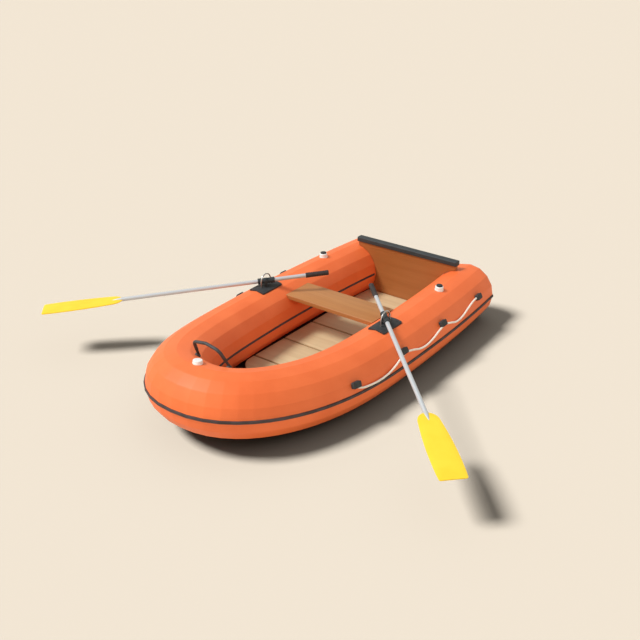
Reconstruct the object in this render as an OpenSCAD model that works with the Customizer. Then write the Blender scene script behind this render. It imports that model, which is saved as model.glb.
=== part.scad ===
// Inflatable rowing dinghy: one orange buoyancy tube bent round the bow, a slatted wooden floor,
// a thwart, a wooden transom with a cap rail, lifelines, and two oars in hoop rowlocks.
// Millimetres. +X points to the bow, +Y to port and +Z up. The ground is z = 0, and the hull's
// length and beam are centred on the origin.

/* [Buoyancy tube] */
// Radius of the buoyancy tube
tube_r = 184; // [165:1:200]
// Half the distance between the tube's two centrelines amidships
half_beam = 450; // [400:1:540]
// Distance from the origin to the tube's centreline at the bow
bow_tip_x = 1032; // [860:1:1240]
// Where the sides begin to curve in towards the bow
bow_start_x = -298; // [-380:1:-200]
// Fullness of the bow curve along the boat
bow_full_x = 2.83; // [2.5:0.01:3.1]
// Fullness of the bow curve across the boat
bow_full_y = 2.36; // [2.15:0.01:2.5]
// How far each side closes in from amidships to the stern
stern_taper = 48; // [0:1:70]
// How far the bow rises above the straight tube
bow_rise = 80; // [0:1:110]
// Where the bow begins to rise
rise_start_x = 81; // [20:1:220]
// Depth of the rounded stern ends of the tube
end_dome = 60; // [30:1:90]

/* [Strake and seam] */
// Height of the rubbing strake round the outside
strake_h = 18; // [12:1:30]
// How far the strake stands proud of the tube
strake_proud = 6; // [3:0.5:10]
// Height of the tape over the tube's inner seam
tape_h = 15; // [8:1:28]
// Thickness of the seam tape
tape_t = 1.5; // [1:0.1:3]

/* [Floor] */
// Height of the slats' top face above the ground
floor_top = 54; // [44:1:62]
// Thickness of a floor slat
slat_t = 13; // [8:0.5:18]
// Half the length of a floor slat, measured across the boat
slat_half = 297; // [240:1:310]
// Distance from one slat to the next
slat_pitch = 290; // [240:1:320]
// Gap between two slats
slat_gap = 10; // [3:0.5:14]
// Joint between the first and the second slat
first_joint_x = 233; // [170:1:280]
// Length of the foremost slat along the boat
nose_slat = 217; // [160:1:260]
// Thickness of the floor skin
skin_t = 4; // [2:0.5:6]

/* [Transom and thwart] */
// Distance from the ends of the stern to the transom's front face
transom_inset = 211; // [190:1:240]
// Thickness of the transom board
transom_t = 28; // [18:1:36]
// Height of the transom board
transom_top = 412; // [396:1:450]
// Half the width of the transom board's top
transom_half = 385; // [330:1:400]
// Half the length of the cap rail
cap_half = 392; // [340:1:420]
// Depth of the cap rail along the boat
cap_d = 50; // [40:1:70]
// Height of the cap rail
cap_h = 34; // [28:1:50]
// How far the cap rail stands above the transom board
cap_over = 16; // [10:1:22]
// Centre of the thwart along the boat
thwart_x = -235; // [-300:1:-195]
// Width of the thwart along the boat
thwart_w = 232; // [160:1:250]
// Thickness of the thwart board
thwart_t = 27; // [18:1:34]
// How far the thwart's top face lies below the top of the tube
thwart_drop = 42; // [36:1:80]

/* [Rowlocks] */
// Rowlock's place along the boat
rowlock_x = -70; // [-120:1:-40]
// Length of the rowlock pad along the tube
pad_l = 190; // [150:1:220]
// Width of the rowlock pad over the tube
pad_w = 113; // [90:1:130]
// Thickness of the rowlock pad
pad_t = 6; // [4:0.5:8]
// Radius of the hoop's bar
hoop_bar_r = 4; // [3:0.5:5]
// Radius of the hoop's arch, measured to the middle of its bar
hoop_r = 46; // [44:1:54]
// Height of the oar's axis above the top of the tube
oar_lift = 40; // [38:1:48]
// Radius of the yoke's vertical pin
pin_r = 6; // [4:0.5:8]
// Radius of the yoke's two side pins
side_pin_r = 4; // [3:0.5:5]

/* [Oars] */
// Angle of the blade end forward of straight outboard
oar_yaw = 44; // [0:1:50]
// Angle of the blade end below level
oar_dip = 5; // [0:1:10]
// Turn of the blade about the oar's own axis
blade_roll = 0; // [-90:1:90]
// Radius of the oar shaft
shaft_r = 12.5; // [10:0.5:14]
// Radius of the sleeve in the rowlock
sleeve_r = 19; // [17:0.5:21]
// Distance from the rowlock to the inboard end of the grip
grip_end = 401; // [340:1:430]
// Length of the grip
grip_l = 147; // [110:1:170]
// Radius of the grip
grip_r = 16; // [15:0.5:19]
// Distance from the rowlock to the top of the blade
blade_start = 898; // [760:1:1000]
// Length of the blade
blade_l = 490; // [400:1:540]
// Width of the blade at its tip
blade_w = 137; // [110:1:170]
// Width of the blade at its shoulders
blade_neck_w = 96; // [80:1:130]
// How much wider the blade bulges halfway down
blade_bulge = 25; // [0:1:40]
// Thickness of the blade
blade_t = 9; // [6:0.5:12]

/* [Fittings] */
// Radius of a valve's white body
valve_r = 27.5; // [22:0.5:34]
// Height of a valve's white body
valve_h = 24; // [16:1:30]
// Height of the bow valve's white body
bow_valve_h = 18; // [12:1:30]
// Radius of the black valve caps
valve_cap_r = 19.5; // [14:0.5:22]
// Height of the black valve caps
valve_cap_h = 9; // [5:1:14]
// Place of the two stern valves along the boat
stern_valve_x = -682; // [-780:1:-580]
// Radius of the lifeline rope
rope_r = 6; // [4:0.5:7]
// Length of a rope patch along the tube
patch_l = 60; // [40:1:80]
// Width of a rope patch over the tube
patch_w = 35; // [28:1:48]
// How far a rope patch stands proud of the tube
patch_t = 20; // [16:1:26]
// Radius of the bow handle's bar
handle_r = 9; // [7:0.5:12]
// Rise of the bow handle above its feet
handle_rise = 109; // [90:1:150]
// Lean of the bow handle towards the bow
handle_lean = 47; // [20:1:70]

/* [Hidden] */
$fn = 64;

// Clearances
seat_gap = 0.3;   // between a fitting and the round tube it sits on
glue_gap = 0.2;   // between a glued strip and the tube's staves
skin_gap = 1.2;   // between the floor skin's edge and the tube
fit_gap = 0.05;   // radial clearance of a pin or shaft in its hole
slat_edge = 4;    // least distance from a slat's end to the tube
eps = 0.01;

// The tube is a ring of flat staves. One stave faces straight down, so its flat is the ground
// contact, and one faces straight out, where the strake is glued.
tube_sides = 32;
tube_flat = tube_r*cos(180/tube_sides);
axis_z = tube_flat;
tube_top = 2*tube_flat;
stern_x = -(bow_tip_x + tube_flat + strake_proud);
transom_front_x = stern_x + transom_inset;
thwart_top = tube_top - thwart_drop;
body_end_x = stern_x + end_dome;
aft_rings = 5;
fore_rings = 20;
ring_bias = 1.35; // spreads the bow's rings evenly along the curve

// Plan curve and rise of the tube's centreline.
bow_len = bow_tip_x - bow_start_x;
function aft_y(x) = half_beam - stern_taper*pow((bow_start_x - x)/(bow_start_x - stern_x), 2);
function fore_y(x) = half_beam*pow(1 - pow((x - bow_start_x)/bow_len, bow_full_x), 1/bow_full_y);
function side_y(x) = x < bow_start_x ? aft_y(x) : fore_y(x);
function rise(x, from) = bow_rise*pow(max(0, (x - from)/(bow_tip_x - from)), 2);
function side_z(x) = axis_z + rise(x, rise_start_x);
function side_point(x) = [x, side_y(x), side_z(x)];
function side_slope(x) = atan2(side_y(x + 1) - side_y(x - 1), 2);
function bow_x(a) = bow_start_x + bow_len*pow(sin(a), 2/bow_full_x);
function bow_point(a) = [bow_x(a), half_beam*pow(cos(a), 2/bow_full_y), side_z(bow_x(a))];
function mirrored(p) = [p.x, -p.y, p.z];
function unit(v) = v/norm(v);

aft_x = [for (i = [0:aft_rings - 1])
  transom_front_x + (bow_start_x - transom_front_x)*i/aft_rings];
port_half = concat(
  [side_point(body_end_x)],
  [for (x = aft_x) side_point(x)],
  [for (i = [0:fore_rings]) bow_point(90*pow(i/fore_rings, ring_bias))]);
centreline = concat(port_half, [for (i = [len(port_half) - 2:-1:0]) mirrored(port_half[i])]);
last_ring = len(centreline) - 1;

// A section's own axes: its first axis points outboard, its second up, along the path it follows.
function along(path, i) = unit(path[min(i + 1, len(path) - 1)] - path[max(i - 1, 0)]);
astern = [-1, 0, 0];
function heading(i) = i == 0 ? -astern : i == last_ring ? astern : along(centreline, i);
function ring(p, t, outline, up = [0, 0, 1]) =
  let (s = unit(cross(up, t)), u = cross(t, s)) [for (q = outline) p + q.x*s + q.y*u];
function round_outline(r, sides) =
  [for (j = [0:sides - 1]) let (a = (j + 0.5)*360/sides) [r*cos(a), r*sin(a)]];
tube_outline = round_outline(tube_r, tube_sides);

// Closed solid through a list of rings with the same number of points.
module loft(rings) {
  n = len(rings[0]);
  m = len(rings);
  sides = [for (i = [0:m - 2], j = [0:n - 1])
    let (k = (j + 1) % n) [i*n + j, (i + 1)*n + j, (i + 1)*n + k, i*n + k]];
  start = [for (j = [0:n - 1]) j];
  end = [for (j = [n - 1:-1:0]) (m - 1)*n + j];
  polyhedron(points = [for (r = rings) each r], faces = concat([start, end], sides), convexity = 6);
}

// Strip of constant outline along the tube, from one ring to another.
module strip(outline, first, last) {
  loft([for (i = [first:last]) ring(centreline[i], heading(i), outline)]);
}

// Cylinder between two points.
module rod(a, b, r) {
  d = b - a;
  translate(a)
    rotate([0, acos(d.z/norm(d)), atan2(d.y, d.x)])
      cylinder(h = norm(d), r = r);
}

// The tube's own round shape between two places, to seat a piece against it.
cut_over = 40;
module tube_cutter(x0, x1) {
  rod(side_point(x0 - cut_over), side_point(x1 + cut_over), tube_r + seat_gap);
}

// Puts a piece made for port on either side.
module on_side(side) {
  if (side > 0) children();
  else mirror([0, 1, 0]) children();
}

// Local axes on the tube: X along it, Z out of its surface, origin on the tube's centreline.
// The angle is counted from straight outboard, so 90 is the top.
module on_tube(x, angle) {
  translate(side_point(x))
    rotate([angle - 90, -atan2(side_z(x + 1) - side_z(x - 1), 2), side_slope(x)])
      children();
}

// Plate with rounded corners.
module rounded_plate(l, w, h, r) {
  linear_extrude(height = h) {
    square([l - 2*r, w], center = true);
    square([l, w - 2*r], center = true);
    for (x = [-1, 1], y = [-1, 1])
      translate([x*(l/2 - r), y*(w/2 - r)]) circle(r);
  }
}

// Buoyancy tube. Its stern ends are closed by a shallow dome.
dome_rings = 3;
dome_edge = 25; // degrees of the dome's round from one ring to the next
dome_shape = 0.6;
function dome_shift(k) = end_dome*sin(k*dome_edge)/sin(dome_rings*dome_edge);
function dome_size(k) = pow(cos(k*dome_edge), dome_shape);
function dome_ring(i, t, k) = ring(centreline[i] + dome_shift(k)*t, (i == 0 ? -1 : 1)*t,
  [for (q = tube_outline) q*dome_size(k)]);
module main_tube() {
  color("orangered")
    loft(concat(
      [for (k = [dome_rings:-1:1]) dome_ring(0, astern, k)],
      [for (i = [0:last_ring]) ring(centreline[i], heading(i), tube_outline)],
      [for (k = [1:dome_rings]) dome_ring(last_ring, astern, k)]));
}

// Rubbing strake along the tube's widest line.
strake_round = 3;
module rub_strake() {
  h = strake_h/2;
  back = tube_flat + glue_gap;
  out = tube_flat + strake_proud;
  edge = min(strake_round, strake_proud - 1);
  color("dimgray")
    strip([[back, -h], [out - edge, -h], [out, edge - h], [out, h - edge], [out - edge, h],
      [back, h]], 0, last_ring);
}

// Tape over the seam on the tube's inner side, from the transom round the bow and back.
module seam_tape() {
  h = tape_h/2;
  back = -tube_flat - glue_gap;
  color("darkslategray")
    strip([[back - tape_t, -h], [back, -h], [back, h], [back - tape_t, h]], 1, last_ring - 1);
}

// Floor skin: a rubberised sheet glued to the tube's lower inner side. It lifts at the bow.
skin_top = floor_top - slat_t;
skin_last = len(port_half) - 2;
skin_lift_x = first_joint_x + 40; // the skin is level up to here
function skin_z(x) = skin_top + rise(x, skin_lift_x);
function skin_reach(z) = sqrt(pow(tube_r + skin_gap, 2) - z*z);
function skin_edge(i) =
  let (p = port_half[i], s = unit(cross([0, 0, 1], along(centreline, i))),
    z = skin_z(p.x - skin_reach(axis_z - skin_top)*s.x), reach = skin_reach(p.z - z))
  [p.x - reach*s.x, p.y - reach*s.y, z];
module floor_skin() {
  drop = [0, 0, -skin_t];
  color([0.12, 0.12, 0.12])
    loft([for (i = [1:skin_last]) let (e = skin_edge(i), f = mirrored(e))
      [f + drop, e + drop, e, f]]);
}

// Floor slats lie across the boat, and the foremost has a round nose that lifts with the skin.
slat_steps = 6;
nose_steps = 18;
function tube_edge(x) = side_y(x) - sqrt(tube_r*tube_r - pow(side_z(x) - floor_top, 2));
function slat_end(x) = min(slat_half, tube_edge(x) - slat_edge);
module slat(x0, x1) {
  steps = [for (i = [0:slat_steps]) x0 + (x1 - x0)*i/slat_steps];
  color("burlywood")
    translate([0, 0, skin_top])
      linear_extrude(height = slat_t)
        polygon(concat([for (x = steps) [x, slat_end(x)]],
          [for (i = [slat_steps:-1:0]) [steps[i], -slat_end(steps[i])]]));
}
module nose_slat_board() {
  x0 = first_joint_x + slat_gap/2;
  straight = nose_slat*0.2;
  round_l = nose_slat - slat_gap/2 - straight;
  half = slat_end(x0 + straight);
  tilt = atan2(skin_z(first_joint_x + nose_slat) - skin_top, nose_slat);
  color("burlywood")
    translate([x0, 0, skin_top + seat_gap])
      rotate([0, -tilt, 0])
        linear_extrude(height = slat_t)
          polygon(concat([[0, -half], [straight, -half]],
            [for (i = [1:nose_steps - 1]) let (a = 180*i/nose_steps)
              [straight + round_l*sin(a), -half*cos(a)]],
            [[straight, half], [0, half]]));
}
last_slat = 3;
module floor_slat(i) {
  front = first_joint_x - slat_pitch*i;
  back = i == last_slat ? transom_front_x + slat_gap/2 : front - slat_pitch + slat_gap/2;
  slat(back, front - slat_gap/2);
}

// Transom board between the tubes, with a lug over each.
module transom() {
  bottom = skin_top - skin_t;
  color("saddlebrown")
    difference() {
      translate([transom_front_x - transom_t, -transom_half, bottom])
        cube([transom_t, 2*transom_half, transom_top - bottom]);
      for (side = [1, -1])
        on_side(side) tube_cutter(transom_front_x - transom_t, transom_front_x);
    }
}

// Cap rail: a channel pushed down over the board's top edge.
cap_round = 7;
module transom_cap() {
  x = transom_front_x - transom_t/2;
  color("dimgray")
    difference() {
      translate([x, 0, transom_top + cap_over - cap_h/2])
        rotate([90, 0, 0])
          translate([0, 0, -cap_half])
            rounded_plate(cap_d, cap_h, 2*cap_half, cap_round);
      translate([x - transom_t/2 - seat_gap, -transom_half - seat_gap, transom_top + cap_over - cap_h - 1])
        cube([transom_t + 2*seat_gap, 2*(transom_half + seat_gap), cap_h - cap_over + 1 + eps]);
    }
}

// Thwart: a board wedged between the tubes.
module thwart() {
  x0 = thwart_x - thwart_w/2;
  color("peru")
    difference() {
      translate([x0, -half_beam, thwart_top - thwart_t])
        cube([thwart_w, 2*half_beam, thwart_t]);
      for (side = [1, -1])
        on_side(side) {
          tube_cutter(x0, x0 + thwart_w);
          translate([x0 - 1, half_beam - tube_r/2, 0]) cube([thwart_w + 2, tube_r, 2*tube_top]);
        }
    }
}

// Rowlock pad: a curved plate glued on top of the tube, with a boss for the yoke's pin.
rowlock_y = side_y(rowlock_x);
oar_z = tube_top + oar_lift;
boss_r = 20;
boss_top = tube_top + 10;
pad_round = 8;
module rowlock_pad() {
  r = tube_r + seat_gap;
  color([0.2, 0.2, 0.2])
    translate([rowlock_x, rowlock_y, 0])
      rotate([0, 0, side_slope(rowlock_x)])
        difference() {
          union() {
            intersection() {
              translate([-pad_l, 0, axis_z]) rotate([0, 90, 0]) cylinder(h = 2*pad_l, r = r + pad_t);
              translate([0, 0, axis_z]) rounded_plate(pad_l, pad_w, tube_r + pad_t + 1, pad_round);
            }
            translate([0, 0, axis_z]) cylinder(h = boss_top - axis_z, r = boss_r);
          }
          translate([-pad_l, 0, axis_z]) rotate([0, 90, 0]) cylinder(h = 2*pad_l, r = r);
          translate([0, 0, axis_z]) cylinder(h = 2*tube_r, r = pin_r + fit_gap);
        }
}

// Hoop: a steel bar arched over the oar, its two feet moulded into the pad.
foot_sink = 4;
module hoop() {
  foot_z = axis_z + tube_r + seat_gap + pad_t - foot_sink;
  color("silver")
    translate([rowlock_x, rowlock_y, 0])
      rotate([0, 0, side_slope(rowlock_x)]) {
        translate([0, 0, oar_z])
          rotate([90, 0, 0])
            rotate_extrude(angle = 180)
              translate([hoop_r, 0]) circle(r = hoop_bar_r, $fn = 24);
        for (x = [-hoop_r, hoop_r])
          translate([x, 0, foot_z])
            cylinder(h = oar_z - foot_z, r = hoop_bar_r, $fn = 24);
      }
}

// Yoke: turns on its pin in the pad, and carries the sleeve between two arms on side pins.
yoke_t = 4.5;    // thickness of the arms and the base
yoke_w = 18;     // width along the oar
arm_gap = 1;     // between an arm and the sleeve
pin_reach = 5;   // how deep a side pin enters the sleeve's wall
module yoke() {
  arm = sleeve_r + arm_gap;
  base_z = boss_top + seat_gap;
  color([0.25, 0.25, 0.25])
    translate([rowlock_x, rowlock_y, 0])
      rotate([0, 0, 90 - oar_yaw]) {
        translate([0, 0, tube_top + 1.5]) cylinder(h = base_z - tube_top - 1.5 + eps, r = pin_r);
        translate([-yoke_w/2, -arm - yoke_t, base_z]) cube([yoke_w, 2*(arm + yoke_t), yoke_t]);
        for (side = [-1, 1])
          translate([0, side*(arm + yoke_t/2), 0]) {
            translate([-yoke_w/2, -yoke_t/2, base_z]) cube([yoke_w, yoke_t, oar_z - base_z]);
            translate([0, yoke_t/2, oar_z]) rotate([90, 0, 0]) cylinder(h = yoke_t, r = yoke_w/2);
          }
        for (side = [-1, 1])
          translate([0, side*(arm + yoke_t/2), oar_z])
            rotate([side*90, 0, 0])
              cylinder(h = yoke_t/2 + arm_gap + pin_reach, r = side_pin_r);
      }
}

// Places a piece drawn along X on the oar's axis: X runs outboard, with 0 at the rowlock.
module at_oar(roll = 0) {
  translate([rowlock_x, rowlock_y, oar_z])
    rotate([roll, oar_dip, 90 - oar_yaw])
      children();
}
module barrel(x0, x1, r) {
  translate([x0, 0, 0]) rotate([0, 90, 0]) cylinder(h = x1 - x0, r = r);
}

// Sleeve: the shaft turns inside it, and the yoke's side pins carry it.
sleeve_in = 46;
sleeve_out = 36;
module sleeve() {
  color([0.15, 0.15, 0.15])
    at_oar()
      difference() {
        barrel(-sleeve_in, sleeve_out, sleeve_r);
        barrel(-sleeve_in - 1, sleeve_out + 1, shaft_r + fit_gap);
        for (side = [-1, 1])
          translate([0, side*(sleeve_r - pin_reach - fit_gap), 0])
            rotate([-side*90, 0, 0])
              cylinder(h = pin_reach + 1, r = side_pin_r + fit_gap);
      }
}

// Oar shaft: a straight alloy tube, from inside the grip to inside the blade's socket.
socket_l = 45;
grip_cap = 12;
module shaft() {
  color("gainsboro")
    at_oar()
      barrel(-grip_end + grip_cap, blade_start + socket_l, shaft_r);
}

// Stops: two rings on the shaft that keep it from sliding through the sleeve.
stop_gap = 0.5;
stop_out = 14;
stop_in = 9;
module stops() {
  color([0.15, 0.15, 0.15])
    at_oar()
      for (span = [[sleeve_out + stop_gap, stop_out], [-sleeve_in - stop_gap - stop_in, stop_in]])
        difference() {
          barrel(span[0], span[0] + span[1], sleeve_r);
          barrel(span[0] - 1, span[0] + span[1] + 1, shaft_r);
        }
}

// Grip: moulded over the inboard end of the shaft.
module grip() {
  color([0.15, 0.15, 0.15])
    at_oar()
      difference() {
        barrel(-grip_end, grip_l - grip_end, grip_r);
        barrel(-grip_end + grip_cap, grip_l - grip_end + 1, shaft_r);
      }
}

// Blade: a flat plate with round shoulders, gently bulging sides and a square tip, and a socket for
// the shaft.
shoulder_l = 70;
shoulder_steps = 8;
side_steps = 8;
tip_round = 10;
socket_wall = 3.5;
function blade_half(s) = let (t = s/blade_l)
  (blade_neck_w + (blade_w - blade_neck_w)*t + 4*blade_bulge*t*(1 - t))/2;
module blade() {
  shoulder = [for (i = [0:shoulder_steps]) let (a = 90*i/shoulder_steps)
    [shoulder_l*(1 - cos(a)), max(shaft_r, blade_half(shoulder_l)*sin(a))]];
  side = [for (i = [1:side_steps - 1])
    let (s = shoulder_l + (blade_l - tip_round - shoulder_l)*i/side_steps) [s, blade_half(s)]];
  tip = [for (a = [90, 60, 30, 0])
    [blade_l - tip_round + tip_round*cos(a), blade_half(blade_l) - tip_round + tip_round*sin(a)]];
  edge = concat(shoulder, side, tip);
  outline = concat(edge, [for (i = [len(edge) - 1:-1:0]) [edge[i].x, -edge[i].y]]);
  color("gold")
    at_oar(blade_roll)
      difference() {
        union() {
          translate([blade_start, 0, -blade_t/2]) linear_extrude(height = blade_t) polygon(outline);
          barrel(blade_start, blade_start + socket_l + grip_cap, shaft_r + socket_wall);
        }
        barrel(blade_start - 1, blade_start + socket_l, shaft_r);
      }
}

// Valves: a round body on the tube, the stern ones with a black screw cap.
valve_angle = 87;
valve_cap_seat = tube_r + seat_gap + valve_h;
module valve_body(top) {
  difference() {
    cylinder(h = top, r = valve_r);
    translate([-2*valve_r, 0, 0]) rotate([0, 90, 0]) cylinder(h = 4*valve_r, r = tube_r + seat_gap);
  }
}
module stern_valve() {
  color("white") on_tube(stern_valve_x, valve_angle) valve_body(valve_cap_seat);
}
module stern_valve_cap() {
  color([0.15, 0.15, 0.15])
    on_tube(stern_valve_x, valve_angle)
      translate([0, 0, valve_cap_seat])
        cylinder(h = valve_cap_h, r = valve_cap_r);
}
bow_valve_back = 8; // degrees inboard of the tube's top
module bow_valve() {
  color("white")
    translate([bow_tip_x, 0, axis_z + bow_rise])
      rotate([0, -bow_valve_back, 0])
        rotate([0, 0, 90])
          valve_body(tube_r + seat_gap + bow_valve_h);
}

// Rope patches, as [place along the boat, degrees above the strake].
patch_places = [[410, 19], [-15, 28], [-450, 28], [-925, 25]];
patch_round = 8;
module rope_patches() {
  color([0.15, 0.15, 0.15])
    for (p = patch_places)
      on_tube(p[0], p[1])
        difference() {
          rounded_plate(patch_l, patch_w, tube_r + patch_t, patch_round);
          translate([-patch_l, 0, 0])
            rotate([0, 90, 0])
              cylinder(h = 2*patch_l, r = tube_r + seat_gap);
        }
}

// Lifeline, as [place along the boat, degrees above the strake]. It lies on the tube and dips
// between the patches, which hold it.
route = [[416, 16], [360, 9], [295, 6.5], [225, 6], [155, 8], [90, 13], [27, 19.5], [-32, 23.5],
  [-100, 20], [-165, 14], [-235, 12], [-315, 15], [-393, 20.5], [-467, 23.5], [-535, 19],
  [-600, 13.5], [-680, 14.5], [-770, 20.5], [-860, 25], [-938, 25]];
rope_lift = 0.6;
rope_sides = 8;
function route_at(i) = route[max(0, min(i, len(route) - 1))];
function smooth(a, b, c, d, t) =
  0.5*(2*b + (c - a)*t + (2*a - 5*b + 4*c - d)*t*t + (3*b - a - 3*c + d)*t*t*t);
function route_point(i, t) =
  smooth(route_at(i - 1), route_at(i), route_at(i + 1), route_at(i + 2), t);
function rope_point(q) =
  let (p = side_point(q[0]), s = side_slope(q[0]), out = tube_r + rope_r + rope_lift)
  p + out*[-sin(s)*cos(q[1]), cos(s)*cos(q[1]), sin(q[1])];
rope_path = [for (i = [0:len(route) - 2], t = [0, 0.5]) rope_point(route_point(i, t))];
rope_line = concat(rope_path, [rope_point(route[len(route) - 1])]);
module lifeline() {
  color("ivory")
    loft([for (i = [0:len(rope_line) - 1])
      ring(rope_line[i], along(rope_line, i), round_outline(rope_r, rope_sides))]);
}

// Bow handle: a bar bent to a staple, leaning forward, with a round foot at each end.
handle_turn = 73;   // place of the feet round the bow curve
handle_angle = 126; // place of the feet round the tube
handle_in = 23;
handle_arch = 15;
handle_bend = 26;
handle_foot_r = 16;
handle_foot_t = 5;
bend_steps = 4;
handle_p = bow_point(handle_turn);
handle_along = unit(bow_point(handle_turn + 1) - bow_point(handle_turn - 1));
handle_out = unit(cross([0, 0, 1], handle_along));
handle_normal = cos(handle_angle)*handle_out + sin(handle_angle)*cross(handle_along, handle_out);
handle_seat = 1.5; // the tube is hollow along its length here, so a flat foot stands on its rim
handle_foot = handle_p + (tube_r + handle_seat)*handle_normal;
handle_corner = handle_foot + [handle_lean, -handle_in, handle_rise];
module bow_handle() {
  foot_top = handle_foot + handle_foot_t*handle_normal;
  a = handle_corner + handle_bend*unit(foot_top - handle_corner);
  top = [handle_corner.x, 0, handle_corner.z + handle_arch];
  b = handle_corner + handle_bend*unit(top - handle_corner);
  bend = [for (i = [0:bend_steps]) let (t = i/bend_steps)
    (1 - t)*(1 - t)*a + 2*t*(1 - t)*handle_corner + t*t*b];
  half = concat([foot_top, (foot_top + a)/2], bend);
  path = concat(half, [top], [for (i = [len(half) - 1:-1:0]) mirrored(half[i])]);
  color([0.2, 0.2, 0.2]) {
    loft([for (i = [0:len(path) - 1])
      ring(path[i], along(path, i), round_outline(handle_r, 12), [1, 0, 0])]);
    for (side = [1, -1])
      on_side(side) rod(handle_foot, foot_top, handle_foot_r);
  }
}

main_tube();
rub_strake();
seam_tape();
floor_skin();
nose_slat_board();  // floor_slat_1
floor_slat(0);  // floor_slat_2
floor_slat(1);  // floor_slat_3
floor_slat(2);  // floor_slat_4
floor_slat(3);  // floor_slat_5
transom();
transom_cap();
thwart();
rowlock_pad();  // port_rowlock_pad
hoop();  // port_hoop
yoke();  // port_yoke
sleeve();  // port_sleeve
shaft();  // port_shaft
stops();  // port_stops
grip();  // port_grip
blade();  // port_blade
on_side(-1) rowlock_pad();  // starboard_rowlock_pad
on_side(-1) hoop();  // starboard_hoop
on_side(-1) yoke();  // starboard_yoke
on_side(-1) sleeve();  // starboard_sleeve
on_side(-1) shaft();  // starboard_shaft
on_side(-1) stops();  // starboard_stops
on_side(-1) grip();  // starboard_grip
on_side(-1) blade();  // starboard_blade
stern_valve();  // port_valve
stern_valve_cap();  // port_valve_cap
on_side(-1) stern_valve();  // starboard_valve
on_side(-1) stern_valve_cap();  // starboard_valve_cap
bow_valve();
rope_patches();  // port_rope_patches
on_side(-1) rope_patches();  // starboard_rope_patches
lifeline();  // port_lifeline
on_side(-1) lifeline();  // starboard_lifeline
bow_handle();
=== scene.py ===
from math import atan2, cos, pi, radians, sin

import bpy
from mathutils import Matrix, Vector


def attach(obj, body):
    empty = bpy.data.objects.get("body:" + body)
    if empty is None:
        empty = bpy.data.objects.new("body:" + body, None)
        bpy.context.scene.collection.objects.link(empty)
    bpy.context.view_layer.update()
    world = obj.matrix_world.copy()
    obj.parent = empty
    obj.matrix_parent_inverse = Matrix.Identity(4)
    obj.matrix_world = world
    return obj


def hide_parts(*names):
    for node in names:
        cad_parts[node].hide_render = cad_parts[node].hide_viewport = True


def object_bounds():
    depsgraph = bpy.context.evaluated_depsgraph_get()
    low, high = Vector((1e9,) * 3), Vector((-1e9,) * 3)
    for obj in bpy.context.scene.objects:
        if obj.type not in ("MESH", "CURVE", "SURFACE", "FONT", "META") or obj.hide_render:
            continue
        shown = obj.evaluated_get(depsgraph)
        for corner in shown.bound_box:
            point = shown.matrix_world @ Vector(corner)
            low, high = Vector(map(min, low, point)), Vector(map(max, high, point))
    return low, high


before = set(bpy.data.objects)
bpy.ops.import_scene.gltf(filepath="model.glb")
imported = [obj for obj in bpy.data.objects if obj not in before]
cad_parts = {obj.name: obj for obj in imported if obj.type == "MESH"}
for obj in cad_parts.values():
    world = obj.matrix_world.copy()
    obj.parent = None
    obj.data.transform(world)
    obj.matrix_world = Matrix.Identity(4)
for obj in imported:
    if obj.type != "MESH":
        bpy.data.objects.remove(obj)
cad_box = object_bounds()


# ---- Camera ----
# A normal lens off the boat's port bow, 2.7 m above the floor. It is aimed low down, a little aft
# of the boat's middle and to starboard of it.
view_azimuth = radians(126.88)
view_elevation = radians(26.48)
view_distance = 5.708
aim_shift = Vector((-0.265, -0.168, -0.1343))
aim = (cad_box[0] + cad_box[1]) / 2 + aim_shift
camera_data = bpy.data.cameras.new("camera")
camera_data.lens = 50
camera_data.sensor_width = 36
camera = bpy.data.objects.new("camera", camera_data)
bpy.context.scene.collection.objects.link(camera)
camera.location = aim + view_distance * Vector((
    sin(view_azimuth) * cos(view_elevation), -cos(view_azimuth) * cos(view_elevation),
    sin(view_elevation)))
camera.rotation_euler = (aim - camera.location).to_track_quat("-Z", "Y").to_euler()
bpy.context.scene.camera = camera


# ---- Lifelines ----
# Three-strand laid polyester cord, 12 mm thick. It lies along each side of the tube and dips
# between the moulded patches that hold it.
tube_r = 0.184
tube_flat = tube_r * cos(pi / 32)  # half the tube's height as it stands on the floor
half_beam = 0.45
bow_tip_x = 1.032
bow_start_x = -0.298
bow_full = (2.83, 2.36)  # how full the bow curve is along and across the boat
stern_taper = 0.048
strake_proud = 0.006
stern_x = -(bow_tip_x + tube_flat + strake_proud)
bow_rise = 0.08
rise_start_x = 0.081
rope_d = 0.012
rope_lift = 0.0006
rope_lay = 0.045
rope_step = 0.0036
rope_lobes = 3
rope_route = [
    (0.416, 16), (0.360, 9), (0.295, 6.5), (0.225, 6), (0.155, 8), (0.090, 13), (0.027, 19.5),
    (-0.032, 23.5), (-0.100, 20), (-0.165, 14), (-0.235, 12), (-0.315, 15), (-0.393, 20.5),
    (-0.467, 23.5), (-0.535, 19), (-0.600, 13.5), (-0.680, 14.5), (-0.770, 20.5), (-0.860, 25),
    (-0.938, 25)]


def side_y(x):
    """How far the middle of the tube is from the boat's centreline."""
    if x < bow_start_x:
        return half_beam - stern_taper * ((bow_start_x - x) / (bow_start_x - stern_x)) ** 2
    share = (x - bow_start_x) / (bow_tip_x - bow_start_x)
    return half_beam * (1 - share ** bow_full[0]) ** (1 / bow_full[1])


def side_point(x):
    """The middle of the port tube at this place along the boat."""
    lift = bow_rise * (max(0, (x - rise_start_x) / (bow_tip_x - rise_start_x))) ** 2
    return Vector((x, side_y(x), tube_flat + lift))


def side_slope(x):
    """The way that the port tube runs there, seen from above."""
    return atan2(side_y(x + 0.001) - side_y(x - 0.001), 0.002)


def rope_point(x, above):
    """A point on the lifeline's own middle line, at this angle above the strake."""
    turn = side_slope(x)
    out = tube_r + rope_d / 2 + rope_lift
    return side_point(x) + out * Vector((
        -sin(turn) * cos(above), cos(turn) * cos(above), sin(above)))


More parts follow.
